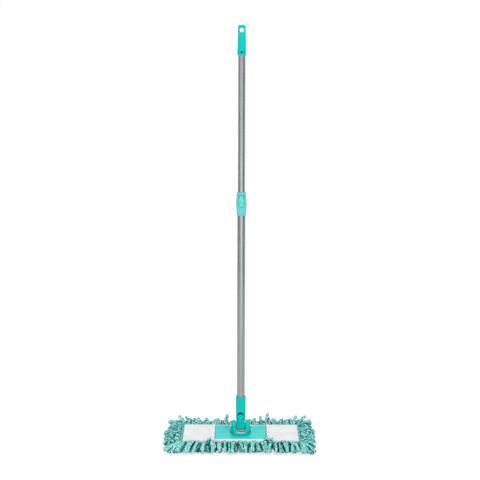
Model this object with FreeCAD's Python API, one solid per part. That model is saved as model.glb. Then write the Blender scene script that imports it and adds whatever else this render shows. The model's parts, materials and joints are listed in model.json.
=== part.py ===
"""A flat dust mop: a chenille pad on a pocket frame, a swivelling and tilting joint, and a telescopic handle.

Millimetres. +Z is up, the origin is on the floor under the handle's axis, X runs along the pad and -Y is
the front. Each sub-part is written to parts/NAME.step.
"""

import FreeCAD, Part
import math
import os

# Pad, from the floor up
PAD_X = 221.0  # half length over the fringe
PAD_Y = 88.0  # half depth over the fringe
PILE_TOP = 20.0  # height of the chenille pile under the pad
CLOTH_X = 172.2  # half length of the woven backing
CLOTH_Y = 59.5
CLOTH_TOP = 22.5
LINER_X = 165.2  # half length of the white inner cloth
LINER_Y = 52.5
LINER_FLOOR = 25.0
LINER_RIM = 30.8
POCKET_THICK = 1.0
FRINGE_TOP = 33.0
FRINGE_SHOULDER = 28.0
FRINGE_EDGE = 12.0  # height of the fringe's outer edge

# Frame in the pad
FRAME_X = 158.0
FRAME_Y = 43.6
FRAME_LOW = 25.3
FRAME_TOP = 29.8
FRAME_SKIN = 2.5  # thickness of the frame's top skin
RIB = 1.8
COVER_X = 73.2
COVER_Y = 42.8
COVER_TOP = 32.0
WELL_R = 29.9  # round well in the cover, for the turntable
SCREW_X = 62.0
SCREW_Y = 33.0

# Joint
TURNTABLE_R = 28.3
TURNTABLE_TOP = 32.4
HUB_R = 12.0
WASHER_R = 17.0
CHEEK_IN = 14.5  # inner face of each cheek
CHEEK_OUT = 27.2  # outer face of each cheek at the pin
CHEEK_FOOT_Y = 24.0
CHEEK_TOP_R = 26.2  # the cheeks taper in plan from TURNTABLE_R to this
PIN_Z = 50.6  # height of the tilt pin
PIN_R = 3.0
PIN_HEAD_R = 5.4
PIN_SEAT_R = 7.0  # flat spot on each cheek under the pin's head
CHEEK_R = 16.0
KNUCKLE_R = 12.4
KNUCKLE_X = 11.7
KNUCKLE_HUB_R = 9.0
KNUCKLE_HUB_X = 14.2  # the hubs keep the knuckle centred between the cheeks
PLATE_Y = 13.0
PLATE_TOP = 33.6  # the steel plate lies on the turntable
RIVET_R = 2.5

# Socket and its release tab
SOCKET_LOW = 70.0
SOCKET_TOP = 142.3
SOCKET_R = 14.0
TUBE_LOW = 105.0
PLUG_TOP = 103.0
PLUG_R = 11.0
WINDOW_TOP = 97.5
WINDOW_R = 9.3
TAB_TOP = 91.0
TAB_R = 8.7
TAB_LOW = 62.6
TAB_FOOT_R = 1.2  # the round foot the tab rocks on
TAB_FOOT_Y = -11.2

# Telescopic handle
LOWER_R = 11.0
UPPER_R = 9.5
WALL = 0.8
LOWER_END = 706.0
UPPER_LOW = 538.0
UPPER_TOP = 1136.0
BUSH_LOW = 528.0
COLLAR_LOW = 670.4
COLLAR_TOP = 734.2
COLLAR_FOOT = 5.0  # height of the collar's lower flange
COLLAR_HEAD = 4.0  # height of its upper flange
COLLAR_R = 14.2
LEVER_Z = 723.0  # height of the lever's pin
LEVER_Y = -14.0
LEVER_X = 7.6  # half width of the lever
LEVER_END = 695.6
LEVER_GAP = 0.9  # gap between the lever and its bed
LEVER_FRONT = -17.2
CAM_R = 3.0
CAM_OFFSET = 0.3  # the cam's centre stands this far behind the pin
LEVER_NECK_X = 4.8  # half width of the lever beside its pin
BOSS_X = 10.2
BOSS_FRONT = -16.3
CAP_LOW = 1098.0
CAP_TOP = 1175.0
CAP_R_LOW = 11.6
CAP_R_TOP = 10.0
HANG_Z = 1161.6
HANG_R = 5.7
CAP_FLAT = 6.5  # half thickness of the cap round the hanging hole
CAP_SCREW_Z = 1105.8
CAP_SCREW_R = 3.1  # radius of the recess for the cap's screw
SOCKET_SCREW_Z = 123.0

SLIDE = 0.03  # radial gap of a fixed fit
RUN = 0.06  # radial gap of a running fit

X_AXIS = FreeCAD.Vector(1, 0, 0)
Y_AXIS = FreeCAD.Vector(0, 1, 0)
Z_AXIS = FreeCAD.Vector(0, 0, 1)


def point(x, y, z):
    return FreeCAD.Vector(x, y, z)


def box(x, y, z):
    """A block between the two values of each axis."""
    corner = point(min(x), min(y), min(z))
    return Part.makeBox(abs(x[1] - x[0]), abs(y[1] - y[0]), abs(z[1] - z[0]), corner)


def slab(half_x, half_y, z, corner):
    """A centred block with rounded upright edges."""
    block = box((-half_x, half_x), (-half_y, half_y), z)
    upright = [e for e in block.Edges if abs(e.Vertexes[0].Z - e.Vertexes[1].Z) > 1e-6]
    return block.makeFillet(corner, upright)


def rod_x(radius, x, y, z):
    return Part.makeCylinder(radius, abs(x[1] - x[0]), point(min(x), y, z), X_AXIS)


def rod_y(radius, x, y, z):
    return Part.makeCylinder(radius, abs(y[1] - y[0]), point(x, min(y), z), Y_AXIS)


def rod_z(radius, z, x=0.0, y=0.0):
    return Part.makeCylinder(radius, abs(z[1] - z[0]), point(x, y, min(z)), Z_AXIS)


def tube(outer, inner, z):
    return rod_z(outer, z).cut(rod_z(inner, z))


def face(edges):
    return Part.Face(Part.Wire(edges))


def polygon(points):
    return face(Part.makePolygon([*points, points[0]]).Edges)


def turned(points):
    """A solid of revolution about Z from (radius, height) points."""
    outline = polygon([point(r, 0, z) for r, z in points])
    return outline.revolve(point(0, 0, 0), Z_AXIS, 360)


def arch(half_width, low, top, y):
    """A block between two values of Y, whose outline is upright sides under a round top."""
    centre = top - half_width
    left = point(-half_width, y[0], centre)
    right = point(half_width, y[0], centre)
    crown = point(0, y[0], top)
    foot_left = point(-half_width, y[0], low)
    foot_right = point(half_width, y[0], low)
    edges = [
        Part.LineSegment(foot_left, left).toShape(),
        Part.Arc(left, crown, right).toShape(),
        Part.LineSegment(right, foot_right).toShape(),
        Part.LineSegment(foot_right, foot_left).toShape(),
    ]
    return face(edges).extrude(point(0, y[1] - y[0], 0))


def edges_at(shape, test):
    return [e for e in shape.Edges if test(e.CenterOfMass)]


# ---------------------------------------------------------------- pad


def pad_backing():
    return slab(CLOTH_X, CLOTH_Y, (PILE_TOP, CLOTH_TOP), 9)


def pad_liner():
    """The inner cloth: a floor under the frame and a padded rim round it."""
    body = slab(LINER_X, LINER_Y, (CLOTH_TOP, LINER_RIM), 7)
    return body.cut(slab(FRAME_X + 0.5, FRAME_Y + 0.5, (LINER_FLOOR, LINER_RIM), 6))


def pocket(side):
    """The cloth over one wing of the frame, open towards the middle."""
    sheet = slab(LINER_X, LINER_Y, (LINER_RIM, LINER_RIM + POCKET_THICK), 7)
    mouth = COVER_X + 0.8
    keep = (mouth, LINER_X + 1) if side > 0 else (-LINER_X - 1, -mouth)
    return sheet.common(box(keep, (-LINER_Y, LINER_Y), (LINER_RIM, LINER_RIM + POCKET_THICK)))


def pile():
    return slab(CLOTH_X, CLOTH_Y, (0, PILE_TOP), 9)


def fringe_profile(inner, outer):
    """The fringe's cross-section as (distance from the middle, height) points."""
    reach = outer - inner
    return [
        (inner, 0),
        (inner, FRINGE_TOP),
        (inner + 0.55 * reach, FRINGE_SHOULDER),
        (outer, FRINGE_EDGE),
        (outer, 0),
    ]


def fringe_long(side):
    """The fringe along the front or the back edge."""
    section = fringe_profile(CLOTH_Y + 0.3, PAD_Y)
    outline = polygon([point(-CLOTH_X, side * y, z) for y, z in section])
    return outline.extrude(point(2 * CLOTH_X, 0, 0))


def fringe_end(side):
    """The fringe at one end, with its two outer corners cut off."""
    section = fringe_profile(CLOTH_X + 0.3, PAD_X)
    outline = polygon([point(side * x, -PAD_Y + 4, z) for x, z in section])
    body = outline.extrude(point(0, 2 * (PAD_Y - 4), 0))
    for end in (-1, 1):
        corner = polygon(
            [
                point(side * (PAD_X + 1), end * (PAD_Y + 1), -1),
                point(side * (PAD_X + 1), end * (PAD_Y - 26), -1),
                point(side * (PAD_X - 26), end * (PAD_Y + 1), -1),
            ]
        )
        body = body.cut(corner.extrude(point(0, 0, FRINGE_TOP + 2)))
    return body


# ---------------------------------------------------------------- frame


def screw_places():
    return [(x, y) for x in (-SCREW_X, SCREW_X) for y in (-SCREW_Y, SCREW_Y)]


def frame_plate():
    """The moulded frame: a skin with a rim and ribs under it, and a bore for the turntable's hub."""
    web = FRAME_TOP - FRAME_SKIN
    body = slab(FRAME_X, FRAME_Y, (FRAME_LOW, FRAME_TOP), 6)
    cells_x, cells_y = 8, 4
    pitch_x = (2 * FRAME_X - RIB) / cells_x
    pitch_y = (2 * FRAME_Y - RIB) / cells_y
    cells = []
    for i in range(cells_x):
        for j in range(cells_y):
            x = -FRAME_X + RIB + i * pitch_x
            y = -FRAME_Y + RIB + j * pitch_y
            corner = i in (0, cells_x - 1) and j in (0, cells_y - 1)
            cell = box((x, x + pitch_x - RIB), (y, y + pitch_y - RIB), (FRAME_LOW, web))
            if corner:
                cell = cell.common(slab(FRAME_X - RIB, FRAME_Y - RIB, (FRAME_LOW, web), 5))
            cells.append(cell)
    hollow = cells[0].multiFuse(cells[1:])
    bosses = [rod_z(WASHER_R + 4, (FRAME_LOW, web))]
    bosses += [rod_z(4.2, (FRAME_LOW, web), x, y) for x, y in screw_places()]
    for boss in bosses:
        hollow = hollow.cut(boss)
    body = body.cut(hollow)
    body = body.cut(rod_z(WASHER_R + 1.5, (FRAME_LOW, web)))
    body = body.cut(rod_z(HUB_R + RUN, (FRAME_LOW, FRAME_TOP)))
    for x, y in screw_places():
        body = body.cut(rod_z(3.0, (FRAME_LOW, web - 0.6), x, y))
        body = body.cut(rod_z(1.3, (FRAME_LOW, FRAME_TOP), x, y))
    return body


def centre_cover():
    body = slab(COVER_X, COVER_Y, (FRAME_TOP, COVER_TOP), 3)
    top = edges_at(body, lambda c: abs(c.z - COVER_TOP) < 1e-6)
    body = body.makeChamfer(0.7, top)
    body = body.cut(rod_z(WELL_R, (FRAME_TOP, COVER_TOP)))
    for x, y in screw_places():
        body = body.cut(rod_z(1.25, (FRAME_TOP, COVER_TOP - 0.8), x, y))
    return body


def cover_screws():
    """Four screws from below, heads in the frame's bosses and points in the cover."""
    head_top = FRAME_TOP - FRAME_SKIN - 0.6
    screws = []
    for x, y in screw_places():
        head = rod_z(2.8, (head_top - 1.3, head_top), x, y)
        shank = rod_z(1.22, (head_top, COVER_TOP - 1.0), x, y)
        slot = box((x - 2, x + 2), (y - 0.35, y + 0.35), (head_top - 1.3, head_top - 0.7))
        screws.append(head.fuse(shank).cut(slot).removeSplitter())
    return Part.makeCompound(screws)


# ---------------------------------------------------------------- swivel and tilt joint


def cheek_outline(x):
    """The cheek's side view: round over the pin, then flaring to the edge of the turntable."""
    foot = TURNTABLE_TOP - 0.5
    lean = math.radians(20)
    flank_y = CHEEK_R * math.cos(lean)
    flank_z = PIN_Z + CHEEK_R * math.sin(lean)
    edges = [
        Part.LineSegment(point(x, -CHEEK_FOOT_Y, foot), point(x, -flank_y, flank_z)).toShape(),
        Part.Arc(point(x, -flank_y, flank_z), point(x, 0, PIN_Z + CHEEK_R), point(x, flank_y, flank_z)).toShape(),
        Part.LineSegment(point(x, flank_y, flank_z), point(x, CHEEK_FOOT_Y, foot)).toShape(),
        Part.LineSegment(point(x, CHEEK_FOOT_Y, foot), point(x, -CHEEK_FOOT_Y, foot)).toShape(),
    ]
    return face(edges)


def cheek(side):
    """One upright ear of the yoke, clipped to the turntable's round plan and rounded over on top."""
    top = PIN_Z + CHEEK_R
    body = cheek_outline(side * CHEEK_IN).extrude(point(side * 15, 0, 0))
    foot = TURNTABLE_TOP - 0.5
    body = body.common(Part.makeCone(TURNTABLE_R, CHEEK_TOP_R, top + 1 - foot, point(0, 0, foot), Z_AXIS))
    outer = [
        e
        for e in body.Edges
        if abs(e.CenterOfMass.x) > CHEEK_IN + 4 and e.CenterOfMass.z > foot + 4 and e.BoundBox.ZLength > 1
    ]
    body = body.makeFillet(2.2, outer)
    inner = edges_at(body, lambda c: abs(abs(c.x) - CHEEK_IN) < 1e-6 and c.z > foot + 4)
    return body.makeFillet(1.0, inner)


def yoke():
    """The turntable with its hub below and two cheeks above."""
    disc = rod_z(TURNTABLE_R, (FRAME_TOP + 0.2, TURNTABLE_TOP))
    hub = rod_z(HUB_R, (FRAME_TOP - FRAME_SKIN - 0.3, FRAME_TOP + 0.3))
    body = disc.multiFuse([hub, cheek(-1), cheek(1)])
    for side in (-1, 1):
        body = body.fuse(rod_x(PIN_SEAT_R, (side * (CHEEK_OUT - 4), side * CHEEK_OUT), 0, PIN_Z))
        body = body.cut(rod_x(PIN_SEAT_R, (side * CHEEK_OUT, side * (CHEEK_OUT + 5)), 0, PIN_Z))
    body = body.cut(rod_x(PIN_R + SLIDE, (-CHEEK_OUT - 5, CHEEK_OUT + 5), 0, PIN_Z))
    body = body.cut(rod_z(RIVET_R + SLIDE, (0, PIN_Z)))
    return body.removeSplitter()


def swivel_plate():
    """The steel plate between the cheeks, under the rivet's head."""
    body = slab(CHEEK_IN - 0.25, PLATE_Y, (TURNTABLE_TOP, PLATE_TOP), 1.0)
    return body.cut(rod_z(RIVET_R + SLIDE, (TURNTABLE_TOP, PLATE_TOP)))


def swivel_rivet():
    """Shank and domed head; the head stands on the steel plate."""
    low = FRAME_TOP - FRAME_SKIN - 1.7
    top = PLATE_TOP
    head = turned([(0, top), (5.0, top), (5.0, top + 0.5), (3.4, top + 1.6), (0, top + 1.6)])
    return rod_z(RIVET_R, (low, top)).fuse(head).removeSplitter()


def retaining_washer():
    top = FRAME_TOP - FRAME_SKIN - 0.3
    return rod_z(WASHER_R, (top - 1.4, top)).cut(rod_z(RIVET_R + SLIDE, (top - 1.4, top)))


def domed_head(side, inner, depth):
    """A round head on the X axis, with its outer rim chamfered."""
    head = rod_x(PIN_HEAD_R, (side * inner, side * (inner + depth)), 0, PIN_Z)
    rim = edges_at(head, lambda c: abs(c.x - side * (inner + depth)) < 1e-6)
    return head.makeChamfer(1.0, rim)


def tilt_pin():
    seat = CHEEK_OUT
    shank = rod_x(PIN_R, (-seat, seat + 1.4), 0, PIN_Z)
    return shank.fuse(domed_head(-1, seat, 2.6)).removeSplitter()


def pin_retainer():
    """The push-on cap on the tilt pin's plain end."""
    seat = CHEEK_OUT
    return domed_head(1, seat, 2.6).cut(rod_x(PIN_R, (seat, seat + 1.4), 0, PIN_Z))


# ---------------------------------------------------------------- socket


def knuckle():
    """The tilting tongue: a barrel on the pin, a neck, and a hollow plug up inside the socket."""
    barrel = rod_x(KNUCKLE_R, (-KNUCKLE_X, KNUCKLE_X), 0, PIN_Z)
    hubs = rod_x(KNUCKLE_HUB_R, (-KNUCKLE_HUB_X, KNUCKLE_HUB_X), 0, PIN_Z)
    neck = box((-KNUCKLE_X, KNUCKLE_X), (-9.0, 9.0), (PIN_Z, SOCKET_LOW - 0.4))
    ridge = box((-TAB_R, TAB_R), (-KNUCKLE_R, 0), (PIN_Z, TAB_LOW))
    groove = rod_x(TAB_FOOT_R + RUN, (-TAB_R - 1, TAB_R + 1), TAB_FOOT_Y, TAB_LOW)
    plug = rod_z(PLUG_R, (SOCKET_LOW - 0.5, PLUG_TOP))
    body = barrel.multiFuse([hubs, neck, ridge, plug])
    body = body.cut(rod_z(8.0, (SOCKET_LOW + 6, PLUG_TOP)))
    body = body.cut(box((-9.3, 9.3), (-PLUG_R - 3, -5.5), (TAB_LOW, WINDOW_TOP + 2)))
    body = body.cut(groove)
    body = body.cut(rod_x(PIN_R + RUN, (-KNUCKLE_HUB_X, KNUCKLE_HUB_X), 0, PIN_Z))
    return body.removeSplitter()


def release_tab():
    """The sprung tab in the socket's window, curved like the socket's wall."""
    low = TAB_LOW + 0.5
    wall = tube(SOCKET_R - 0.35, PLUG_R + 0.3, (low, TAB_TOP))
    body = wall.common(arch(TAB_R, low, TAB_TOP, (-SOCKET_R - 1, -1)))
    return body.fuse(rod_x(TAB_FOOT_R, (-TAB_R, TAB_R), TAB_FOOT_Y, TAB_LOW)).removeSplitter()


def handle_socket():
    body = turned(
        [
            (PLUG_R + SLIDE, SOCKET_LOW),
            (SOCKET_R - 0.6, SOCKET_LOW),
            (SOCKET_R - 0.2, SOCKET_LOW + 30),
            (SOCKET_R, SOCKET_TOP - 0.8),
            (SOCKET_R - 0.8, SOCKET_TOP),
            (PLUG_R + 0.9, SOCKET_TOP),
            (PLUG_R + SLIDE, SOCKET_TOP - 0.9),
        ]
    )
    body = body.cut(arch(WINDOW_R, SOCKET_LOW - 1, WINDOW_TOP, (-SOCKET_R - 1, 0)))
    body = body.cut(rod_y(2.7, 0, (LOWER_R + 1.1, SOCKET_R + 1), SOCKET_SCREW_Z))
    return body.cut(rod_y(1.45, 0, (8, SOCKET_R), SOCKET_SCREW_Z))


def slotted_screw(side, seat, head_r, head_depth, shank_r, tip, z):
    """A screw across the handle. side is the way its head faces along Y."""
    head = rod_y(head_r, 0, (side * seat, side * (seat + head_depth)), z)
    shank = rod_y(shank_r, 0, (side * tip, side * seat), z)
    outer = seat + head_depth
    slot = box((-head_r, head_r), (side * (outer - 0.5), side * outer), (z - 0.3, z + 0.3))
    return head.fuse(shank).cut(slot).removeSplitter()


def socket_screw():
    return slotted_screw(1, LOWER_R + 1.15, 2.4, 1.1, 1.4, 7.0, SOCKET_SCREW_Z)


# ---------------------------------------------------------------- telescopic handle


def lower_tube():
    body = tube(LOWER_R, LOWER_R - WALL, (TUBE_LOW, LOWER_END))
    return body.cut(rod_y(1.45, 0, (5, LOWER_R + 1), SOCKET_SCREW_Z))


def upper_tube():
    body = tube(UPPER_R, UPPER_R - WALL, (UPPER_LOW, UPPER_TOP))
    return body.cut(rod_y(1.35, 0, (-UPPER_R - 1, -5), CAP_SCREW_Z))


def guide_bush():
    """The plug in the upper tube's foot, whose flange runs inside the lower tube."""
    bore = LOWER_R - WALL - 0.08
    return turned(
        [
            (0, BUSH_LOW),
            (bore - 1.0, BUSH_LOW),
            (bore, BUSH_LOW + 1.0),
            (bore, UPPER_LOW),
            (UPPER_R - WALL - 0.05, UPPER_LOW),
            (UPPER_R - WALL - 0.05, UPPER_LOW + 18),
            (0, UPPER_LOW + 18),
        ]
    )


def collar_barrel():
    """The collar's round body: an arc between two flanges."""
    low, top, slim = COLLAR_LOW + COLLAR_FOOT, COLLAR_TOP - COLLAR_HEAD, 12.3
    belly = face(
        [
            Part.LineSegment(point(0, 0, top), point(0, 0, low)).toShape(),
            Part.LineSegment(point(0, 0, low), point(slim, 0, low)).toShape(),
            Part.Arc(
                point(slim, 0, low),
                point(COLLAR_R, 0, (low + top) / 2 + 3),
                point(slim, 0, top),
            ).toShape(),
            Part.LineSegment(point(slim, 0, top), point(0, 0, top)).toShape(),
        ]
    ).revolve(point(0, 0, 0), Z_AXIS, 360)
    flange_low = rod_z(12.75, (COLLAR_LOW, low))
    flange_low = flange_low.makeFillet(0.8, edges_at(flange_low, lambda c: c.z < COLLAR_LOW + 1e-6))
    flange_top = rod_z(12.55, (top, COLLAR_TOP))
    flange_top = flange_top.makeFillet(0.8, edges_at(flange_top, lambda c: c.z > COLLAR_TOP - 1e-6))
    return belly.multiFuse([flange_low, flange_top])


def collar_boss():
    """The raised pad on the collar's front, gently curved, that the lever lies in."""
    radius = 45.0
    low, top = COLLAR_LOW + COLLAR_FOOT, COLLAR_TOP - COLLAR_HEAD
    pad = rod_z(radius, (low, top), 0, BOSS_FRONT + radius)
    pad = pad.common(box((-BOSS_X, BOSS_X), (BOSS_FRONT, -2), (low, top)))
    corners = [e for e in pad.Edges if abs(abs(e.CenterOfMass.x) - BOSS_X) < 1e-3 and e.CenterOfMass.y < -8]
    pad = pad.makeFillet(1.4, [e for e in corners if e.BoundBox.ZLength > 5])
    return pad.makeChamfer(0.9, edges_at(pad, lambda c: c.y < BOSS_FRONT + 2 and min(c.z - low, top - c.z) < 1e-6))


def lock_collar():
    """The clamp on the lower tube's mouth, with a bore for each tube and a bed for the lever."""
    body = collar_barrel().fuse(collar_boss())
    body = body.cut(rod_z(LOWER_R + SLIDE, (COLLAR_LOW, LOWER_END + 0.2)))
    body = body.cut(rod_z(UPPER_R + RUN, (COLLAR_LOW, COLLAR_TOP)))
    gap = LEVER_X + LEVER_GAP
    bed = box((-gap, gap), (-30, -12.6), (LEVER_END + gap - LEVER_GAP, LEVER_Z + 5.6))
    bed = bed.fuse(rod_y(gap, 0, (-30, -12.6), LEVER_END + gap - LEVER_GAP))
    scoop = rod_x(30, (-6.6, 6.6), BOSS_FRONT - 27.6, (COLLAR_LOW + LEVER_END) / 2)
    cam_room = rod_x(CAM_R + CAM_OFFSET + 0.25, (-gap, gap), LEVER_Y, LEVER_Z)
    shoe_window = box((-4.4, 4.4), (-12, -8), (LEVER_Z - 5.1, LEVER_Z + 5.1))
    pin_bore = rod_x(1.25 + SLIDE, (-BOSS_X - 5, BOSS_X + 5), LEVER_Y, LEVER_Z)
    for tool in (bed, scoop, cam_room, shoe_window, pin_bore):
        body = body.cut(tool)
    return body.removeSplitter()


def lever_pin():
    return rod_x(1.25, (-BOSS_X + 0.1, BOSS_X - 0.1), LEVER_Y, LEVER_Z)


def lock_lever():
    """The flip lever: a pill-shaped paddle with a narrow neck that ends in a cam round the pin."""
    paddle = arch(LEVER_X, -LEVER_Z, -LEVER_END, (LEVER_FRONT, LEVER_Y + 0.9))
    paddle.rotate(point(0, 0, 0), Y_AXIS, 180)
    for side in (-1, 1):
        paddle = paddle.cut(box((side * LEVER_NECK_X, side * 12), (-30, 0), (LEVER_Z - 4, LEVER_Z + 9)))
    rim = [
        e
        for e in paddle.Edges
        if abs(e.CenterOfMass.y - LEVER_FRONT) < 1e-6 and e.CenterOfMass.z < LEVER_Z - 5
    ]
    paddle = paddle.makeFillet(1.3, rim)
    neck = (-LEVER_NECK_X, LEVER_NECK_X)
    cam = rod_x(CAM_R, neck, LEVER_Y + CAM_OFFSET, LEVER_Z)
    shoulder = rod_x(LEVER_Y - LEVER_FRONT, neck, LEVER_Y, LEVER_Z)
    shoulder = shoulder.common(box(neck, (-30, LEVER_Y), (LEVER_Z, LEVER_Z + 9)))
    body = paddle.multiFuse([cam, shoulder])
    finger = rod_x(12.0, (-5.4, 5.4), LEVER_FRONT - 11.2, LEVER_END + 10)
    body = body.cut(finger)
    return body.cut(rod_x(1.25 + RUN, (-LEVER_X, LEVER_X), LEVER_Y, LEVER_Z)).removeSplitter()


def brake_shoe():
    """The shoe between the lever's cam and the upper tube."""
    back = LEVER_Y + CAM_R + CAM_OFFSET + 0.1
    block = box((-4.3, 4.3), (back, -7), (LEVER_Z - 5, LEVER_Z + 5))
    return block.cut(rod_z(UPPER_R + 0.08, (LEVER_Z - 6, LEVER_Z + 6)))


# ---------------------------------------------------------------- hanging cap


def hang_cap():
    corner = 4.6
    shoulder = CAP_TOP - corner
    rim = CAP_R_TOP - corner
    bend = corner * math.sqrt(0.5)
    profile = face(
        [
            Part.LineSegment(point(0, 0, CAP_LOW), point(CAP_R_LOW, 0, CAP_LOW)).toShape(),
            Part.LineSegment(point(CAP_R_LOW, 0, CAP_LOW), point(CAP_R_TOP, 0, shoulder)).toShape(),
            Part.Arc(
                point(CAP_R_TOP, 0, shoulder),
                point(rim + bend, 0, shoulder + bend),
                point(rim, 0, CAP_TOP),
            ).toShape(),
            Part.LineSegment(point(rim, 0, CAP_TOP), point(0, 0, CAP_TOP)).toShape(),
            Part.LineSegment(point(0, 0, CAP_TOP), point(0, 0, CAP_LOW)).toShape(),
        ]
    )
    body = profile.revolve(point(0, 0, 0), Z_AXIS, 360)
    for side in (-1, 1):
        flat = polygon(
            [
                point(-15, side * CAP_FLAT, CAP_TOP + 1),
                point(-15, side * CAP_FLAT, HANG_Z - 10),
                point(-15, side * (CAP_R_LOW + 1), HANG_Z - 22),
                point(-15, side * (CAP_R_LOW + 1), CAP_TOP + 1),
            ]
        )
        body = body.cut(flat.extrude(point(30, 0, 0)))
    body = body.cut(rod_y(HANG_R, 0, (-15, 15), HANG_Z))
    body = body.cut(rod_z(UPPER_R + SLIDE, (CAP_LOW, UPPER_TOP + 0.2)))
    return body.cut(rod_y(CAP_SCREW_R, 0, (-15, -5), CAP_SCREW_Z)).removeSplitter()


def cap_screw():
    return slotted_screw(-1, UPPER_R + 0.02, CAP_SCREW_R - 0.3, 0.9, 1.3, 5.5, CAP_SCREW_Z)


PARTS = {
    "pad_backing": pad_backing,
    "pad_liner": pad_liner,
    "pocket_left": lambda: pocket(-1),
    "pocket_right": lambda: pocket(1),
    "pile_underside": pile,
    "fringe_front": lambda: fringe_long(-1),
    "fringe_back": lambda: fringe_long(1),
    "fringe_left": lambda: fringe_end(-1),
    "fringe_right": lambda: fringe_end(1),
    "frame_plate": frame_plate,
    "centre_cover": centre_cover,
    "cover_screws": cover_screws,
    "yoke": yoke,
    "swivel_plate": swivel_plate,
    "swivel_rivet": swivel_rivet,
    "retaining_washer": retaining_washer,
    "tilt_pin": tilt_pin,
    "pin_retainer": pin_retainer,
    "knuckle": knuckle,
    "release_tab": release_tab,
    "handle_socket": handle_socket,
    "socket_screw": socket_screw,
    "lower_tube": lower_tube,
    "lock_collar": lock_collar,
    "lever_pin": lever_pin,
    "lock_lever": lock_lever,
    "brake_shoe": brake_shoe,
    "guide_bush": guide_bush,
    "upper_tube": upper_tube,
    "hang_cap": hang_cap,
    "cap_screw": cap_screw,
}


def main():
    os.makedirs("parts", exist_ok=True)
    for name, make in PARTS.items():
        shape = make()
        box_of = shape.BoundBox
        print(
            f"{name:18s} solids {len(shape.Solids)} valid {shape.isValid()} volume {shape.Volume / 1000:8.2f} cm3 "
            f"x {box_of.XMin:7.1f} {box_of.XMax:7.1f} y {box_of.YMin:6.1f} {box_of.YMax:6.1f} "
            f"z {box_of.ZMin:7.1f} {box_of.ZMax:7.1f}"
        )
        shape.exportStep(f"parts/{name}.step")


main()
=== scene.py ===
"""Looks for the flat dust mop: chenille strands, sewn cloth, plastic and steel finishes, camera, light."""

import json
import math

import bpy
import numpy as np
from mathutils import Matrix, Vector


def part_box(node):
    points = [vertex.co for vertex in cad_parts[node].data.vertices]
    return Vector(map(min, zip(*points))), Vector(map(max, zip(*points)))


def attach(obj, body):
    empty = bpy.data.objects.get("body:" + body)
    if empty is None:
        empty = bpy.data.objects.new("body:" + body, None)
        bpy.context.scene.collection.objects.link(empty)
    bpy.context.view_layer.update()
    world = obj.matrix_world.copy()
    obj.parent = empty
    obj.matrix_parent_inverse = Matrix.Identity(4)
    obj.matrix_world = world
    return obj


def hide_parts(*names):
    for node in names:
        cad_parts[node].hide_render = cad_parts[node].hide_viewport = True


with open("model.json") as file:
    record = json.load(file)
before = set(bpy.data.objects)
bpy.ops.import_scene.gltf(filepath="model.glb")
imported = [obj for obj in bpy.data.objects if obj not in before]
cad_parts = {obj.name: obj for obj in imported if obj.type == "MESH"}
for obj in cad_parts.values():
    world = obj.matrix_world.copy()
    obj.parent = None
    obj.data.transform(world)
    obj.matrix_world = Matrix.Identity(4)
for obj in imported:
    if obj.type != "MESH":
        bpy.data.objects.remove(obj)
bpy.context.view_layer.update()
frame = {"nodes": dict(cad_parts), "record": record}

MM = 0.001
NODES = frame["nodes"]
UP = np.array([0.0, 0.0, 1.0])

# Sizes read from the frame, in metres
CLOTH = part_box("pad_backing")[1]
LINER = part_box("pad_liner")[1]
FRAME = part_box("frame_plate")[1]
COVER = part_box("centre_cover")[1]

SEED = 7

# Camera: place in metres, turns in degrees, lens in mm
CAMERA_AT = (-0.0053, -2.642, 1.2836)
CAMERA_PITCH = 14.5
CAMERA_ROLL = -0.15
LENS = 75

# Studio
WORLD_LIGHT = 0.66  # strength of the even light on matt surfaces; the background stays at 1
FLOOR_GREY = 0.34
FLOOR_GLOW = 0.68
FLAG_GREY = 0.34

# Finishes
PLASTIC_GRAIN = 0.012 * MM
PLASTIC_EDGE = 0.35 * MM  # radius that softens the moulded pieces' edges

# Chenille yarn
STRAND_R = 4.7 * MM
KNOB_R = 2.95 * MM  # radius of one round tuft
KNOB_PITCH = 4.9 * MM
KNOBS_AROUND = 6
MAX_TRIANGLES = 180000  # in one piece

# Lower layers of the fringe on a long edge: height of the root, reach, crest (mm), count, and the painted
# shade that the layers above lay on them, as how much of their outlook those layers fill
EDGE_LAYERS = ((8, 21, 11, 31, 0.75), (14.5, 25, 22, 32, 0.45))
EDGE_TOP_COUNT = 34
BACK_STANDING_COUNT = 42

# Layers of the fringe at an end: height of the root, reach, crest, rise of the tip (mm), and count
END_LAYERS = ((8, 35, 11, 0, 12), (14.5, 42, 21, 2, 13), (20.5, 44, 30, 9, 12))
LEFT_EXTRA = 4  # the left end's strands reach further by this, in mm
CORNER_TURNS = (0.36, 0.58, 0.82, 1.08, 1.35)  # headings of a corner's fan, in radians
END_MAT_ROWS = ((5, 27), (15, 26), (25, 22))  # short strands on top: distance past the cloth, height (mm)
END_MAT_COUNT = 11

JOINT_CLEAR = 19 * MM  # no tall strand behind the joint nearer to the middle than this

# Strands that stand out from the fringe: place along X, lean, reach, crest and height of the tip, in mm.
# The key is the side: -1 for the front edge and 1 for the back edge.
STRAYS = {
    -1: ((-91, 4, -7, 40, 33), (76, -8, -10, 44, 36), (86, 2, -5, 42, 34)),
    1: (
        (-41, 2, 17, 46, 52),
        (60, -3, 16, 44, 47),
        (72, 9, 19, 47, 55),
        (-150, -12, 18, 44, 44),
        (151, 14, 20, 44, 46),
        (-165, -17, 16, 44, 48),
        (167, 25, 14, 44, 49),
        (169, 38, 6, 36, 38),
    ),
}


# ---------------------------------------------------------------- node helpers


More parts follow.
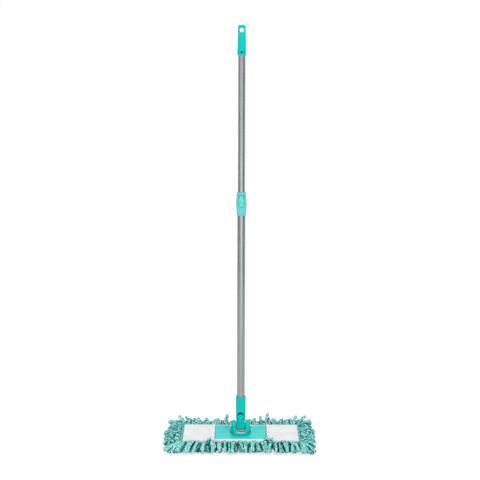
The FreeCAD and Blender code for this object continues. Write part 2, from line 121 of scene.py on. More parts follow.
class Shader:
    """A material with a Principled shader, and short calls that add and join nodes."""

    def __init__(self, name, colour, roughness, metallic=0.0, **sockets):
        self.mat = bpy.data.materials.new(name)
        self.mat.use_nodes = True
        self.tree = self.mat.node_tree
        self.bsdf = self.tree.nodes["Principled BSDF"]
        self.bsdf.inputs["Base Color"].default_value = (*colour, 1)
        self.bsdf.inputs["Roughness"].default_value = roughness
        self.bsdf.inputs["Metallic"].default_value = metallic
        for socket, value in sockets.items():
            self.bsdf.inputs[socket.replace("_", " ")].default_value = value
        self.coords = self.node("ShaderNodeTexCoord").outputs["Object"]

    def node(self, kind, links=None, **values):
        made = self.tree.nodes.new(kind)
        for key, value in values.items():
            if hasattr(made, key):
                setattr(made, key, value)
            else:
                made.inputs[key.replace("_", " ")].default_value = value
        for key, source in (links or {}).items():
            self.tree.links.new(source, made.inputs[key])
        return made

    def stretch(self, scale):
        """Object coordinates multiplied by a scale per axis."""
        mapping = self.node("ShaderNodeMapping", {"Vector": self.coords})
        mapping.inputs["Scale"].default_value = scale
        return mapping.outputs["Vector"]

    def noise(self, scale, detail=2.0, vector=None):
        made = self.node("ShaderNodeTexNoise", {"Vector": vector or self.coords})
        made.inputs["Scale"].default_value = scale
        made.inputs["Detail"].default_value = detail
        return made.outputs["Fac"]

    def ramp(self, source, stops):
        """Colours along a 0 to 1 value. stops are (place, colour)."""
        made = self.node("ShaderNodeValToRGB", {"Fac": source})
        elements = made.color_ramp.elements
        while len(elements) < len(stops):
            elements.new(0.5)
        for element, (place, colour) in zip(elements, stops):
            element.position = place
            element.color = (*colour, 1)
        return made.outputs["Color"]

    def span(self, source, low, high, start=0.0, end=1.0):
        """The source's start to end, mapped to low to high."""
        made = self.node("ShaderNodeMapRange", {"Value": source})
        for socket, value in (("From Min", start), ("From Max", end), ("To Min", low), ("To Max", high)):
            made.inputs[socket].default_value = value
        return made.outputs["Result"]

    def maths(self, operation, a, b):
        made = self.tree.nodes.new("ShaderNodeMath")
        made.operation = operation
        for socket, value in zip(made.inputs, (a, b)):
            if isinstance(value, (int, float)):
                socket.default_value = value
            else:
                self.tree.links.new(value, socket)
        return made.outputs["Value"]

    def colour(self, source):
        self.tree.links.new(source, self.bsdf.inputs["Base Color"])

    def roughness(self, source):
        self.tree.links.new(source, self.bsdf.inputs["Roughness"])

    def bump(self, height, distance, edge=0.0):
        """Bump from a height. edge rounds the sharp edges of the CAD pieces by that radius."""
        made = self.node("ShaderNodeBump", {"Height": height})
        made.inputs["Distance"].default_value = distance
        if edge:
            bevel = self.node("ShaderNodeBevel")
            bevel.inputs["Radius"].default_value = edge
            self.tree.links.new(bevel.outputs["Normal"], made.inputs["Normal"])
        self.tree.links.new(made.outputs["Normal"], self.bsdf.inputs["Normal"])


def tint(colour, factor):
    return tuple(min(1.0, c * factor) for c in colour)


# ---------------------------------------------------------------- materials


def moulded_plastic(name, colour, roughness, gloss=0.14):
    """Moulded plastic: slow colour drift, orange-peel grain and softened edges."""
    s = Shader(name, colour, roughness, IOR=1.45, Specular_IOR_Level=gloss)
    drift = s.noise(22, 3)
    s.colour(s.ramp(drift, [(0.3, tint(colour, 0.93)), (0.7, tint(colour, 1.05))]))
    s.roughness(s.span(s.noise(160, 4), roughness - 0.07, roughness + 0.09, 0.3, 0.7))
    s.bump(s.noise(1400, 2), PLASTIC_GRAIN, edge=PLASTIC_EDGE)
    return s.mat


def drawn_tube(name, colour):
    """Steel tube, drawn along its length, with fine lines, faint handling marks, and streaks along it that
    are partly draw marks and partly painted reflection.
    """
    s = Shader(name, colour, 0.34, metallic=1.0)
    lines = s.noise(1, 4, s.stretch((900, 900, 9)))
    # stripes along the tube, partly draw marks and partly painted reflection of the studio's light
    drawn_and_reflection_streaks = s.noise(1, 2, s.stretch((330, 330, 1.3)))
    marks = s.noise(1, 3, s.stretch((60, 60, 14)))
    tone = s.maths("ADD", s.maths("MULTIPLY", lines, 0.2), s.maths("MULTIPLY", marks, 0.2))
    tone = s.maths("ADD", tone, s.maths("MULTIPLY", drawn_and_reflection_streaks, 0.6))
    s.colour(s.ramp(tone, [(0.38, tint(colour, 0.80)), (0.62, tint(colour, 1.2))]))
    s.roughness(s.span(marks, 0.26, 0.44, 0.3, 0.7))
    s.bump(lines, 0.01 * MM, edge=0.2 * MM)
    return s.mat


def plated_steel(name, colour, roughness, metallic=1.0):
    """Plated sheet and fasteners, with dull patches and fine lines along X."""
    s = Shader(name, colour, roughness, metallic)
    patches = s.noise(180, 4)
    s.colour(s.ramp(patches, [(0.35, tint(colour, 0.82)), (0.65, tint(colour, 1.12))]))
    s.roughness(s.span(s.noise(420, 3), roughness - 0.1, roughness + 0.14, 0.3, 0.7))
    s.bump(s.noise(1, 3, s.stretch((300, 2400, 2400))), 0.012 * MM, edge=0.3 * MM)
    return s.mat


def thread_waves(s, axis, pitch, warp=0.6):
    """A wave across one axis with that pitch in metres."""
    wave = s.node("ShaderNodeTexWave", {"Vector": s.coords}, bands_direction=axis)
    wave.inputs["Scale"].default_value = 2 * math.pi / 20 / pitch
    wave.inputs["Distortion"].default_value = warp
    wave.inputs["Detail"].default_value = 2
    wave.inputs["Detail Scale"].default_value = 1.5
    return wave.outputs["Fac"]


def woven_cloth(name, colour, pitch, shade=0.86):
    """Plain weave: two crossing sets of threads, in bump and in colour."""
    s = Shader(name, colour, 0.9, Sheen_Weight=0.25, Sheen_Roughness=0.5)
    weave = s.maths("MULTIPLY", thread_waves(s, "X", pitch), thread_waves(s, "Y", pitch))
    soil = s.noise(35, 4)
    tone = s.maths("ADD", s.maths("MULTIPLY", weave, 0.45), s.maths("MULTIPLY", soil, 0.55))
    s.colour(s.ramp(tone, [(0.2, tint(colour, shade)), (0.6, tint(colour, 1.03))]))
    s.bump(s.maths("ADD", weave, s.maths("MULTIPLY", s.noise(900, 2), 0.4)), 0.26 * MM)
    return s.mat


def chenille(name, dark, mid, light):
    """Tufted microfibre yarn. It reads each strand's tone, the reach from root to tip (painted shade at the
    roots), the height of the tufts (painted highlight on their tops, painted shade between them), and the
    painted shade where the surface lies among the other strands."""
    s = Shader(name, mid, 0.95, Specular_IOR_Level=0.06, Sheen_Weight=0.06, Sheen_Roughness=0.6)
    fuzz = s.noise(1100, 4)
    value = s.maths("MULTIPLY", fuzz, 0.36)
    # tone varies at random per strand; reach paints shade at the roots, knob paints highlight on the tufts
    # and shade between them, and the last paints shade among the strands
    for key, weight in (("tone", 0.12), ("reach", 0.06), ("knob", 0.78), ("painted_crowd_shade", -0.56)):
        part = s.node("ShaderNodeAttribute", attribute_name=key).outputs["Fac"]
        value = s.maths("ADD", value, s.maths("MULTIPLY", part, weight))
    s.colour(s.ramp(value, [(0.22, dark), (0.60, mid), (1.0, light)]))
    s.bump(fuzz, 1.3 * MM)
    return s.mat


TEAL = (0.0, 0.50, 0.45)
PALE_TEAL = (0.11, 0.58, 0.54)

MATERIALS = {
    "teal_plastic": moulded_plastic("teal_plastic", TEAL, 0.45, gloss=0.11),
    # painted light: the cover's lighter teal is a lit copy of teal_plastic, for the light that falls on its
    # flat top
    "lit_teal_cover": moulded_plastic("lit_teal_cover", (0.01, 0.58, 0.53), 0.3, gloss=0.45),
    "pale_teal_plastic": moulded_plastic("pale_teal_plastic", PALE_TEAL, 0.4, gloss=0.25),
    "grey_tube": drawn_tube("grey_tube", (0.32, 0.335, 0.34)),
    "grey_steel": plated_steel("grey_steel", (0.76, 0.77, 0.78), 0.5, metallic=0.15),
    "zinc_steel": plated_steel("zinc_steel", (0.50, 0.50, 0.50), 0.3),
    "dark_screw": plated_steel("dark_screw", (0.03, 0.035, 0.035), 0.45),
    # the frame plate's black is painted shade: it shows in the gap round the turntable and darkens that gap
    # where the shade falls
    "black_nylon": moulded_plastic("black_nylon", (0.02, 0.02, 0.022), 0.55),
    "teal_cloth": woven_cloth("teal_cloth", (0.13, 0.60, 0.56), 0.9 * MM, 0.7),
    "white_cloth": woven_cloth("white_cloth", (0.84, 0.86, 0.86), 1.0 * MM, 0.84),
    "white_thread": woven_cloth("white_thread", (0.80, 0.82, 0.82), 0.4 * MM),
    "teal_thread": woven_cloth("teal_thread", (0.30, 0.66, 0.62), 0.4 * MM),
    # the chenille's dark colour is painted shade for the gaps among strands, and its light colour is the
    # painted highlight on the tufts
    "chenille": chenille("chenille", (0.004, 0.045, 0.05), (0.07, 0.40, 0.38), (0.39, 0.83, 0.77)),
}


# ---------------------------------------------------------------- mesh helpers


def add_piece(name, verts, faces, slot, material=None):
    """A smooth mesh piece that rides on the mop head. material is the slot's own if none is named."""
    mesh = bpy.data.meshes.new(name)
    mesh.from_pydata(np.asarray(verts).tolist(), [], [tuple(f) for f in faces])
    mesh.update()
    mesh.polygons.foreach_set("use_smooth", [True] * len(mesh.polygons))
    mesh.materials.append(MATERIALS[material or slot])
    piece = bpy.data.objects.new(name, mesh)
    bpy.context.scene.collection.objects.link(piece)
    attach(piece, "mop_head")
    return piece


def set_values(piece, name, values):
    """A value per vertex that the material reads."""
    attribute = piece.data.attributes.new(name, "FLOAT", "POINT")
    attribute.data.foreach_set("value", np.asarray(values, np.float32))


def tube_faces(rings, around):
    """Quads between rings of points, and a cap at each end."""
    i = np.arange(rings - 1)[:, None] * around
    j = np.arange(around)[None, :]
    k = (j + 1) % around
    quads = np.stack([i + j, i + k, i + around + k, i + around + j], axis=-1).reshape(-1, 4)
    caps = [list(range(around))[::-1], [(rings - 1) * around + n for n in range(around)]]
    return quads, caps


# ---------------------------------------------------------------- chenille strands


class Strands:
    """Collects chenille strands. Each is a knobbly tube along a Bezier curve."""

    def __init__(self, seed, around=26, step=1.0 * MM):
        self.rng = np.random.default_rng(seed)
        self.around = around
        self.step = step
        self.all = []

    def add(self, a, b, c, d, under=0.0):
        """A strand through four control points. under is the painted shade from a layer above it: how much of
        its outlook that layer fills, painted as darker colour.
        """
        a, b, c, d = (np.asarray(p, float) for p in (a, b, c, d))
        rough = np.linalg.norm(b - a) + np.linalg.norm(c - b) + np.linalg.norm(d - c)
        rings = max(12, round(rough / self.step))
        t = np.linspace(0, 1, rings)[:, None]
        spine = (1 - t) ** 3 * a + 3 * (1 - t) ** 2 * t * b + 3 * (1 - t) * t**2 * c + t**3 * d
        along = 3 * (1 - t) ** 2 * (b - a) + 6 * (1 - t) * t * (c - b) + 3 * t**2 * (d - c)
        along /= np.linalg.norm(along, axis=1, keepdims=True)
        side = np.cross(d - a, UP)
        side /= max(np.linalg.norm(side), 1e-6)
        side = side - along * (along @ side)[:, None]
        side /= np.linalg.norm(side, axis=1, keepdims=True)
        over = np.cross(along, side)

        far = np.concatenate([[0], np.cumsum(np.linalg.norm(np.diff(spine, axis=0), axis=1))])
        tip = np.clip((far - (far[-1] - STRAND_R)) / STRAND_R, 0, 0.995)
        root = np.clip(1 - far / (1.5 * STRAND_R), 0, 1)
        fat = STRAND_R * np.sqrt(1 - tip**2) * (1 - 0.3 * root**2)

        angle = 2 * np.pi * np.arange(self.around) / self.around
        knob = self.knobs(far, angle)
        ring = (fat[:, None] * (0.66 + 0.38 * knob))[:, :, None]
        circle = np.cos(angle)[None, :, None] * side[:, None, :]
        circle = circle + np.sin(angle)[None, :, None] * over[:, None, :]
        self.all.append(
            {
                "points": (spine[:, None, :] + ring * circle).reshape(-1, 3),
                "normals": circle.reshape(-1, 3),
                "rings": rings,
                "spine": spine[:: max(1, rings // 12)],
                "reach": np.repeat(far / far[-1], self.around),
                "knob": knob.ravel(),
                "under": under,
                "tone": np.full(rings * self.around, self.rng.uniform(0, 1)),
            }
        )

    def knobs(self, far, angle):
        """Height, 0 to 1, of the yarn's round tufts over (distance along, angle round)."""
        rows = np.arange(-1, int(far[-1] / KNOB_PITCH) + 2)
        across = np.arange(KNOBS_AROUND)
        shape = (len(rows), KNOBS_AROUND)
        middle = (rows[:, None] + self.rng.uniform(-0.22, 0.22, shape)) * KNOB_PITCH
        turn = across[None, :] + 0.5 * (rows[:, None] % 2) + self.rng.uniform(-0.2, 0.2, shape)
        turn = 2 * np.pi * turn / KNOBS_AROUND
        size = self.rng.uniform(0.75, 1.0, shape)
        gap = (angle[:, None] - turn.ravel()[None, :] + np.pi) % (2 * np.pi) - np.pi
        away = (far[:, None, None] - middle.ravel()) ** 2 + (0.85 * STRAND_R * gap[None]) ** 2
        dome = np.sqrt(np.clip(1 - away / KNOB_R**2, 0, 1)) * size.ravel()
        return dome.max(axis=2)

    def shade(self):
        """Painted shade among the strands: how much of each vertex's outlook is filled by the other strands,
        0 to 1, which darkens the chenille's colour.
        """
        middles = np.array([s["points"].mean(axis=0) for s in self.all])
        for n, strand in enumerate(self.all):
            near = np.linalg.norm(middles - middles[n], axis=1) < 45 * MM
            near[n] = False
            points, normals = strand["points"], strand["normals"]
            if not near.any():
                strand["painted_crowd_shade"] = np.full(len(points), strand["under"])
                continue
            others = np.concatenate([self.all[m]["spine"] for m in np.flatnonzero(near)])
            squares = (points**2).sum(1)[:, None] + (others**2).sum(1)[None, :] - 2 * points @ others.T
            away = np.sqrt(np.clip(squares, 1e-12, None))
            ahead = (normals @ others.T - (normals * points).sum(1)[:, None]) / away
            blocked = np.clip((2.5 * STRAND_R - away) / STRAND_R, 0, 1) * np.clip(2 * ahead, 0, 1)
            strand["painted_crowd_shade"] = np.maximum(blocked.max(axis=1), strand["under"])

    def finish(self, name, *nodes):
        """Makes meshes of the strands, none over the limit of triangles, and hides the CAD nodes."""
        self.shade()
        groups, amount = [[]], 0
        for strand in self.all:
            amount += 2 * len(strand["points"])
            if amount > MAX_TRIANGLES:
                groups.append([])
                amount = 2 * len(strand["points"])
            groups[-1].append(strand)
        pieces = [self.piece(f"{name}_{n + 1}", group) for n, group in enumerate(groups)]
        if nodes:
            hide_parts(*nodes)
        return pieces

    def piece(self, name, group):
        verts, faces, start = [], [], 0
        for strand in group:
            quads, caps = tube_faces(strand["rings"], self.around)
            faces.extend((quads + start).tolist())
            faces.extend([[n + start for n in cap] for cap in caps])
            verts.append(strand["points"])
            start += len(strand["points"])
        piece = add_piece(name, np.concatenate(verts), faces, "chenille")
        for key in ("tone", "reach", "knob", "painted_crowd_shade"):
            set_values(piece, key, np.concatenate([strand[key] for strand in group]))
        return piece


def hang(strands, root, heading, reach, crest, tip, sway=0.0, start=0.2, under=0.0):
    """A strand that leaves root along a heading in plan, arches towards crest, and ends at tip's height."""
    x, y, z = root
    out = np.array([math.cos(heading), math.sin(heading), 0])
    across = np.array([-out[1], out[0], 0])
    foot = np.array([x, y, 0])
    strands.add(
        (x, y, z),
        foot + out * reach * start + across * sway * 0.2 + UP * crest,
        foot + out * reach * 0.62 + across * sway * 0.55 + UP * (crest - 2 * MM),
        foot + out * reach + across * sway + UP * tip,
        under,
    )


def spread(rng, low, high, count):
    """Evenly spaced places between two values, each moved a little."""
    step = (high - low) / count
    return [low + step * (n + 0.5 + rng.uniform(-0.18, 0.18)) for n in range(count)]


def edge_strands(side):
    """The fringe on the front (side -1) or back (side 1) edge: two lower layers, a top layer that arches over
    them, short standing strands at the back only, and the strays."""
    strands = Strands(SEED + 10 + side)
    rng = strands.rng
    edge_x, edge_y = CLOTH.x - 3 * MM, CLOTH.y - 1 * MM
    out = side * math.pi / 2
    floor = STRAND_R + 0.3 * MM
    for z, reach, crest, count, under in EDGE_LAYERS:
        for x in spread(rng, -edge_x, edge_x, count):
            sway = -side * fan(x / edge_x) + rng.uniform(-15, 15) * MM
            length = (reach + rng.uniform(-3, 2)) * MM
            root = (x, side * (edge_y - 2 * MM), z * MM)
            tip = floor + rng.uniform(0, 2) * MM
            hang(strands, root, out, length, crest * MM, tip, sway, under=under)
    for x in spread(rng, -edge_x, edge_x, EDGE_TOP_COUNT):
        sway = -side * fan(x / edge_x) + rng.uniform(-20, 20) * MM
        root = (x, side * edge_y, 20.5 * MM)
        short = max(0.0, rng.uniform(-0.9, 1))
        crest, tip = rng.uniform(30, 38) * MM, (rng.uniform(5, 8) + 9 * short) * MM
        hang(strands, root, out, (26 - 8 * short) * MM, crest, tip, sway, start=-0.1)
    if side > 0:
        for x in spread(rng, -edge_x, edge_x, BACK_STANDING_COUNT):
            high = rng.uniform(0, 1) if abs(x) > JOINT_CLEAR else 0
            root = (x, side * (edge_y - 1 * MM), 19.5 * MM)
            crest, tip = (33 + 11 * high) * MM, (26 + 14 * high) * MM
            reach = rng.uniform(13, 21) * MM
            hang(strands, root, out, reach, crest, tip, rng.uniform(-11, 11) * MM, start=-0.1)
    for x, lean, length, crest, tip in STRAYS[side]:
        root = (x * MM, side * edge_y, 20.5 * MM)
        hang(strands, root, out, length * MM, crest * MM, tip * MM, -side * lean * MM, start=-0.1)
    name = "strands_front" if side < 0 else "strands_back"
    node = "fringe_front" if side < 0 else "fringe_back"
    return strands.finish(name, node)


def fan(part):
    """How far a strand's tip leans towards the pad's end. part is -1 to 1 along the edge."""
    return 25 * MM * part**3


def end_strands(side):
    """The dense fringe at one end, round both corners."""
    strands = Strands(SEED + 20 + side)
    rng = strands.rng
    edge_x, edge_y = CLOTH.x - 1 * MM, CLOTH.y - 4 * MM
    floor = STRAND_R + 0.3 * MM
    long = 0 if side > 0 else LEFT_EXTRA
    for z, reach, crest, tip, count in END_LAYERS:
        top = z == END_LAYERS[-1][0]
        for y in spread(rng, -edge_y, edge_y, count):
            heading = 0.22 * (y / edge_y) ** 3 + rng.uniform(-0.16, 0.16)
            length = (reach + long + rng.uniform(-9, 3)) * MM
            high = (crest + (rng.uniform(-4, 4) if top else 0)) * MM
            low = floor + tip * rng.uniform(0.4, 1.4) * MM
            root = (side * edge_x, y, z * MM)
            hang(strands, root, turned_to(side, heading), length, high, low, rng.uniform(-9, 9) * MM)
        for end in (-1, 1):
            for turn in CORNER_TURNS:
                heading = end * (turn + rng.uniform(-0.08, 0.08))
                square = min((reach + long) / math.cos(turn), 0.66 * reach / math.sin(turn))
                length = (square + rng.uniform(-5, 3)) * MM
                low = floor + tip * rng.uniform(0.2, 1.0) * MM
                if top and end > 0:
                    low += rng.uniform(8, 22) * MM
                root = (side * (edge_x - 4 * MM), end * (edge_y + 1 * MM), z * MM)
                sway = rng.uniform(-4, 4) * MM
                hang(strands, root, turned_to(side, heading), length, crest * MM, low, sway)
    for row, height in END_MAT_ROWS:
        for y in spread(rng, -edge_y - 14 * MM, edge_y + 16 * MM, END_MAT_COUNT):
            x = edge_x + (row + rng.uniform(-4, 4)) * MM
            root = (side * x, y, (height - 6) * MM)
            heading = turned_to(side, rng.uniform(-1.1, 1.1))
            crest, tip = (height + rng.uniform(4, 9)) * MM, (height + rng.uniform(-6, 2)) * MM
            hang(strands, root, heading, rng.uniform(9, 16) * MM, crest, tip, rng.uniform(-6, 6) * MM)
    name = "strands_right" if side > 0 else "strands_left"
    node = "fringe_right" if side > 0 else "fringe_left"
    return strands.finish(name, node)


def turned_to(side, heading):
    """A heading that is measured from +X at the right end, and mirrored at the left end."""
    return heading if side > 0 else math.pi - heading


def pile_strands(side):
    """Half of the pile under the pad."""
    strands = Strands(SEED + 30 + side, around=16, step=1.6 * MM)
    rng = strands.rng
    floor = STRAND_R + 0.2 * MM
    for x in spread(rng, 3 * MM, CLOTH.x - 8 * MM, 14):
        for y in spread(rng, -CLOTH.y + 7 * MM, CLOTH.y - 7 * MM, 10):
            heading = rng.uniform(0, 2 * math.pi)
            reach = rng.uniform(8, 15) * MM
            start = np.array([side * x, y + rng.uniform(-2, 2) * MM, 18.5 * MM])
            lean = np.array([math.cos(heading) * reach, math.sin(heading) * reach, 0])
            flat = np.array([start[0], start[1], floor])
            middle = np.array([start[0], start[1], 11 * MM])
            strands.add(start, middle + 0.1 * lean, flat + 0.4 * lean, flat + lean)
    name = "pile_right" if side > 0 else "pile_left"
    return strands.finish(name, *(["pile_underside"] if side > 0 else []))


# ---------------------------------------------------------------- sewn cloth


def rounded_outline(half_x, half_y, corner, step):
    """Points and outward directions round a rounded rectangle, about one step apart."""
    points = []
    straight = (2 * (half_y - corner), 2 * (half_x - corner))
    centres = ((half_x - corner, half_y - corner, 0), (-half_x + corner, half_y - corner, 90))
    centres += ((-half_x + corner, -half_y + corner, 180), (half_x - corner, -half_y + corner, 270))
    for n, (cx, cy, start) in enumerate(centres):
        turns = max(4, round(corner * math.pi / 2 / step))
        for k in range(turns):
            a = math.radians(start + 90 * k / turns)
            points.append((cx + corner * math.cos(a), cy + corner * math.sin(a), math.cos(a), math.sin(a)))
        a = math.radians(start + 90)
        length = straight[(n + 1) % 2]
        count = max(1, round(length / step))
        for k in range(count):
            along = length * k / count
            x = cx + corner * math.cos(a) - math.sin(a) * along
            y = cy + corner * math.sin(a) + math.cos(a) * along
            points.append((x, y, math.cos(a), math.sin(a)))
    return points


def binding():
    """The folded strip sewn round the backing's edge."""
    width, thick = 7.4 * MM, 3.6 * MM
    outline = rounded_outline(CLOTH.x - width / 2, CLOTH.y - width / 2, 6 * MM, 2.2 * MM)
    rng = np.random.default_rng(SEED + 41)
    around = 16
    wobble = rng.uniform(-1, 1, (len(outline), 3))
    verts = []
    for n, (x, y, nx, ny) in enumerate(outline):
        w = width / 2 * (1 + 0.035 * wobble[n, 0])
        h = thick / 2 * (1 + 0.10 * wobble[n, 1])
        z = CLOTH.z - 0.4 * MM + 0.15 * MM * wobble[n, 2]
        for k in range(around):
            a = 2 * math.pi * k / around
            c, s = math.cos(a), math.sin(a)
            out = math.copysign(abs(c) ** 0.7, c) * w
            verts.append((x + nx * out, y + ny * out, z + math.copysign(abs(s) ** 0.8, s) * h))
    faces = []
    total = len(outline)
    for n in range(total):
        m = (n + 1) % total
        for k in range(around):
            q = (k + 1) % around
            faces.append((n * around + k, m * around + k, m * around + q, n * around + q))
    return add_piece("binding", verts, [f[::-1] for f in faces], "teal_cloth")


def slab_from_heights(xs, ys, top, bottom):
    """A closed cloth slab over a grid, between two height functions."""
    nx, ny = len(xs), len(ys)
    verts = [(x, y, top(x, y)) for x in xs for y in ys]
    verts += [(x, y, bottom(x, y)) for x in xs for y in ys]
    base = nx * ny
    faces = []
    for i in range(nx - 1):
        for j in range(ny - 1):
            a, b, c, d = i * ny + j, (i + 1) * ny + j, (i + 1) * ny + j + 1, i * ny + j + 1
            faces.append((a, b, c, d))
            faces.append((base + d, base + c, base + b, base + a))
    rim = [i * ny for i in range(nx)]
    rim += [(nx - 1) * ny + j for j in range(1, ny)]
    rim += [i * ny + ny - 1 for i in range(nx - 2, -1, -1)]
    rim += [j for j in range(ny - 2, 0, -1)]
    for a, b in zip(rim, rim[1:] + rim[:1]):
        faces.append((a, base + a, base + b, b))
    return verts, faces


def lumps(x, y, seed, size):
    """Smooth unevenness, about -1 to 1, with features about that size."""
    value = 0.0
    for n, (a, b) in enumerate(((1.0, 0.35), (-0.4, 1.0), (0.8, -0.75), (0.2, 1.3))):
        value += math.sin((a * x + b * y) / size * (1 + 0.37 * n) + seed * (n + 1.7))
    return value / 4


def rim_height(x, y):
    """Height of the white cloth's padded edge, rounded down to the backing at its border."""
    inset = min(LINER.x - abs(x), LINER.y - abs(y))
    full = 5.0 * MM
    part = min(1.0, max(0.0, inset / full))
    low, high = CLOTH.z + 1.0 * MM, LINER.z
    return low + (high - low) * math.sqrt(max(0.0, 1 - (1 - part) ** 2))


def border_grid(half, step, fine, depth):
    """Places from -half to half, closer together within depth of both ends."""
    inner = half - depth
    middle = max(2, round(2 * inner / step))
    ends = max(2, round(depth / fine))
    places = [-half + depth * (k / ends) ** 1.6 for k in range(ends)]
    return places + [-inner + 2 * inner * k / middle for k in range(middle + 1)] + [-p for p in places[::-1]]


def liner():
    """The white inner cloth: padded rim, and a floor under the frame."""
    gap = 0.6 * MM

    def top(x, y):
        if abs(x) < FRAME.x + gap and abs(y) < FRAME.y + gap:
            return 25.0 * MM
        puff = 0.35 * MM * lumps(x, y, 2.1, 11 * MM)
        sunk = 1.5 * MM if abs(x) > COVER.x + 2 * MM else 0.0
        return rim_height(x, y) + puff - sunk

    xs = border_grid(LINER.x, 3 * MM, 0.9 * MM, 8 * MM)
    ys = border_grid(LINER.y, 3 * MM, 0.9 * MM, 8 * MM)
    edges = [FRAME.x + gap, FRAME.x + gap + 0.1 * MM]
    xs = sorted(xs + edges + [-e for e in edges])
    edges = [FRAME.y + gap, FRAME.y + gap + 0.1 * MM]
    ys = sorted(ys + edges + [-e for e in edges])
    verts, faces = slab_from_heights(xs, ys, top, lambda x, y: CLOTH.z + 0.1 * MM)
    piece = add_piece("liner_cloth", verts, faces, "white_cloth")
    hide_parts("pad_liner")


def pocket(side):
    """The white cloth stretched over one wing of the frame, with a folded hem at its mouth."""
    mouth = COVER.x + 0.8 * MM
    thick = 1.0 * MM

    def top(x, y):
        inset = min(LINER.x - abs(x), LINER.y - abs(y))
        puff = 0.4 * MM * lumps(x, y, 5.3 * side, 17 * MM) * min(1.0, max(0.0, inset / (6 * MM)))
        hem = 0.7 * MM if abs(x) < mouth + 9 * MM else 0.0
        crease = -0.5 * MM * math.exp(-(((abs(x) - mouth - 9.6 * MM) / (1.0 * MM)) ** 2))
        lap = 0.5 * MM * math.exp(-(((inset - 5.5 * MM) / (1.4 * MM)) ** 2))
        return rim_height(x, y) + thick + puff + hem + crease - lap

    def bottom(x, y):
        return top(x, y) - thick

    count = round((LINER.x - mouth) / (1.2 * MM))
    xs = [mouth + (LINER.x - mouth) * k / count for k in range(count + 1)]
    if side < 0:
        xs = [-x for x in xs[::-1]]
    ys = border_grid(LINER.y, 1.6 * MM, 0.8 * MM, 8 * MM)
    verts, faces = slab_from_heights(xs, ys, top, bottom)
    name = "right" if side > 0 else "left"
    piece = add_piece(f"pocket_cloth_{name}", verts, faces, "white_cloth")
    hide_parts(f"pocket_{name}")
    stitches = []
    x = side * (mouth + 8.2 * MM)
    for k in range(int(2 * (LINER.y - 6 * MM) / (4.2 * MM))):
        y = -LINER.y + 6 * MM + k * 4.2 * MM
        stitches.append(((x, y, top(x, y)), (0, 1, 0)))
    seam = stitch_rows(f"hem_stitches_{name}", stitches, "white_cloth", "white_thread")


def stitch_rows(name, places, slot, material):
    """Short thread stitches. places are (middle, direction)."""
    around, rings, half, radius = 8, 7, 1.45 * MM, 0.34 * MM
    verts, faces = [], []
    quads, caps = tube_faces(rings, around)
    for middle, direction in places:
        along = np.array(direction, float)
        side = np.cross(along, UP)
        start = len(verts)
        for i in range(rings):
            t = -1 + 2 * i / (rings - 1)
            rise = 0.22 * MM * (1 - t * t) - 0.12 * MM
            centre = np.array(middle) + along * half * t + UP * rise
            r = radius * (0.35 + 0.65 * math.sqrt(max(0.0, 1 - t**4)))
            for k in range(around):
                a = 2 * math.pi * k / around
                verts.append(centre + r * (math.cos(a) * side + math.sin(a) * UP))
        faces.extend((quads + start).tolist())
        faces.extend([[n + start for n in cap] for cap in caps])
    return add_piece(name, verts, faces, slot, material)


def border_stitches():
    """The seam that holds the binding and the white cloth to the backing."""
    half_x, half_y = CLOTH.x - 5.6 * MM, CLOTH.y - 5.6 * MM
    places = []
    for x, y, nx, ny in rounded_outline(half_x, half_y, 5 * MM, 4.1 * MM):
        places.append(((x, y, CLOTH.z + 1.25 * MM), (-ny, nx, 0)))
    return stitch_rows("binding_stitches", places, "teal_cloth", "teal_thread")


def backing(others):
    """The woven backing that everything is sewn to."""

    def top(x, y):
        return CLOTH.z - 0.5 * MM + 0.25 * MM * lumps(x, y, 1.2, 14 * MM)

    def bottom(x, y):
        return CLOTH.z - 2.0 * MM + 0.25 * MM * lumps(x, y, 1.2, 14 * MM)

    inset = 2.0 * MM
    xs = [(-CLOTH.x + inset) * (1 - 2 * k / 114) for k in range(115)]
    ys = [(-CLOTH.y + inset) * (1 - 2 * k / 40) for k in range(41)]
    verts, faces = slab_from_heights(xs, ys, top, bottom)
    piece = add_piece("backing_cloth", verts, faces, "teal_cloth")
    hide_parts("pad_backing")


# ---------------------------------------------------------------- build


def finish_cad_nodes():
    """Gives each CAD node the finish that its slot of the record names."""
    finish = {s["node"]: s["material_slot"] for s in frame["record"]["subparts"]}
    # the centre cover takes the lighter copy of the teal plastic, painted light on its flat top
    finish["centre_cover"] = "lit_teal_cover"
    for name, node in NODES.items():
        material = MATERIALS[finish[name]]
        if not node.material_slots:
            node.data.materials.append(material)
        for place in node.material_slots:
            place.material = material


def build_pad():
    """The pad's pieces, from the pile up. Each sheet is built at heights set in its own function."""
    pile = pile_strands(-1) + pile_strands(1)
    fringe = edge_strands(-1) + edge_strands(1) + end_strands(-1) + end_strands(1)
    backing(fringe + [binding(), border_stitches()])
    liner()
    pocket(-1)
    pocket(1)


# ---------------------------------------------------------------- stage


def build_floor():
    """A wide pale floor that glows a little, so that it meets the white background without a line."""
    size = 30.0
    mesh = bpy.data.meshes.new("floor")
    corners = [(-size, -size, 0), (size, -size, 0), (size, size, 0), (-size, size, 0)]
    mesh.from_pydata(corners, [], [(0, 1, 2, 3)])
    floor = bpy.data.objects.new("floor", mesh)
    bpy.context.scene.collection.objects.link(floor)
    s = Shader("floor", (FLOOR_GREY,) * 3, 0.9, Specular_IOR_Level=0.0)
    s.bsdf.inputs["Emission Color"].default_value = (1, 1, 1, 1)
    s.bsdf.inputs["Emission Strength"].default_value = FLOOR_GLOW
    mesh.materials.append(s.mat)


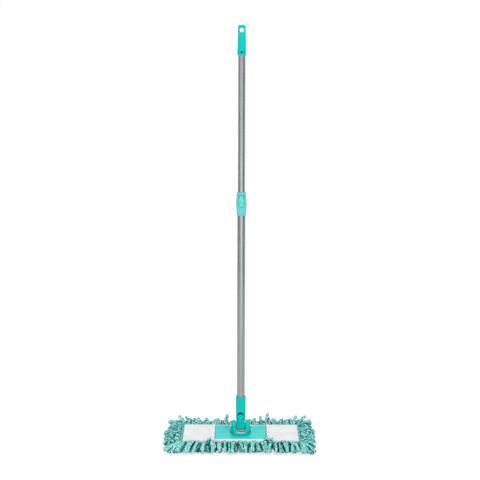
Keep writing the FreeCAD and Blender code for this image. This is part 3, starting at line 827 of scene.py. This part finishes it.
def build_flags():
    """Grey cards at both sides that only reflections see. They draw the darker bands on the steel tubes."""
    grey = Shader("flag", (FLAG_GREY,) * 3, 0.9)
    for side in (-1, 1):
        card = bpy.data.meshes.new("flag")
        x = side * 1.2
        card.from_pydata([(x, -0.9, 0), (x, 0.1, 0), (x, 0.1, 2), (x, -0.9, 2)], [], [(0, 1, 2, 3)])
        card.materials.append(grey.mat)
        flag = bpy.data.objects.new("flag", card)
        bpy.context.scene.collection.objects.link(flag)
        for ray in ("camera", "diffuse", "shadow", "transmission", "volume_scatter"):
            setattr(flag, f"visible_{ray}", False)


def build_world():
    """Even white light, at full strength where it is seen or reflected."""
    world = bpy.data.worlds.new("studio")
    bpy.context.scene.world = world
    world.use_nodes = True
    tree = world.node_tree
    diffuse = tree.nodes.new("ShaderNodeLightPath").outputs["Is Diffuse Ray"]
    strength = tree.nodes.new("ShaderNodeMapRange")
    strength.inputs["To Min"].default_value = 1.0
    strength.inputs["To Max"].default_value = WORLD_LIGHT
    tree.links.new(diffuse, strength.inputs["Value"])
    background = tree.nodes["Background"]
    background.inputs["Color"].default_value = (1.0, 1.0, 1.0, 1)
    tree.links.new(strength.outputs["Result"], background.inputs["Strength"])


def build_lights():
    add_light("key", (0.9, -1.7, 2.3), (0, 0, 0.35), 14, 1.1, 1.1)
    add_light("fill", (-1.6, -1.4, 1.3), (0, 0, 0.4), 5, 0.9, 1.6)
    add_light("back", (0.2, 1.6, 1.9), (0, 0, 0.3), 5, 1.2, 0.8)
    add_light("strip", (0, -2.7, 0.22), (0, 0, 0.7), 9, 3.0, 0.5)
    sun = bpy.data.lights.new("sky", "SUN")
    sun.energy = 1.0
    sun.angle = math.radians(30)
    overhead = bpy.data.objects.new("sky", sun)
    overhead.rotation_euler = (math.radians(22), math.radians(14), 0)
    bpy.context.scene.collection.objects.link(overhead)


def add_light(name, place, target, watts, wide, tall):
    data = bpy.data.lights.new(name, "AREA")
    data.shape = "RECTANGLE"
    data.size = wide
    data.size_y = tall
    data.energy = watts
    light = bpy.data.objects.new(name, data)
    light.location = place
    light.rotation_euler = (Vector(target) - Vector(place)).to_track_quat("-Z", "Y").to_euler()
    bpy.context.scene.collection.objects.link(light)


def build_camera():
    data = bpy.data.cameras.new("camera")
    data.lens = LENS
    data.sensor_width = 36
    data.clip_end = 100
    camera = bpy.data.objects.new("camera", data)
    camera.location = CAMERA_AT
    camera.rotation_euler = (math.radians(90 - CAMERA_PITCH), math.radians(CAMERA_ROLL), 0)
    bpy.context.scene.collection.objects.link(camera)
    bpy.context.scene.camera = camera
    bpy.context.scene.view_settings.view_transform = "Standard"
    bpy.context.scene.view_settings.look = "None"


build_camera()
finish_cad_nodes()
build_pad()
build_floor()
build_flags()
build_world()
build_lights()
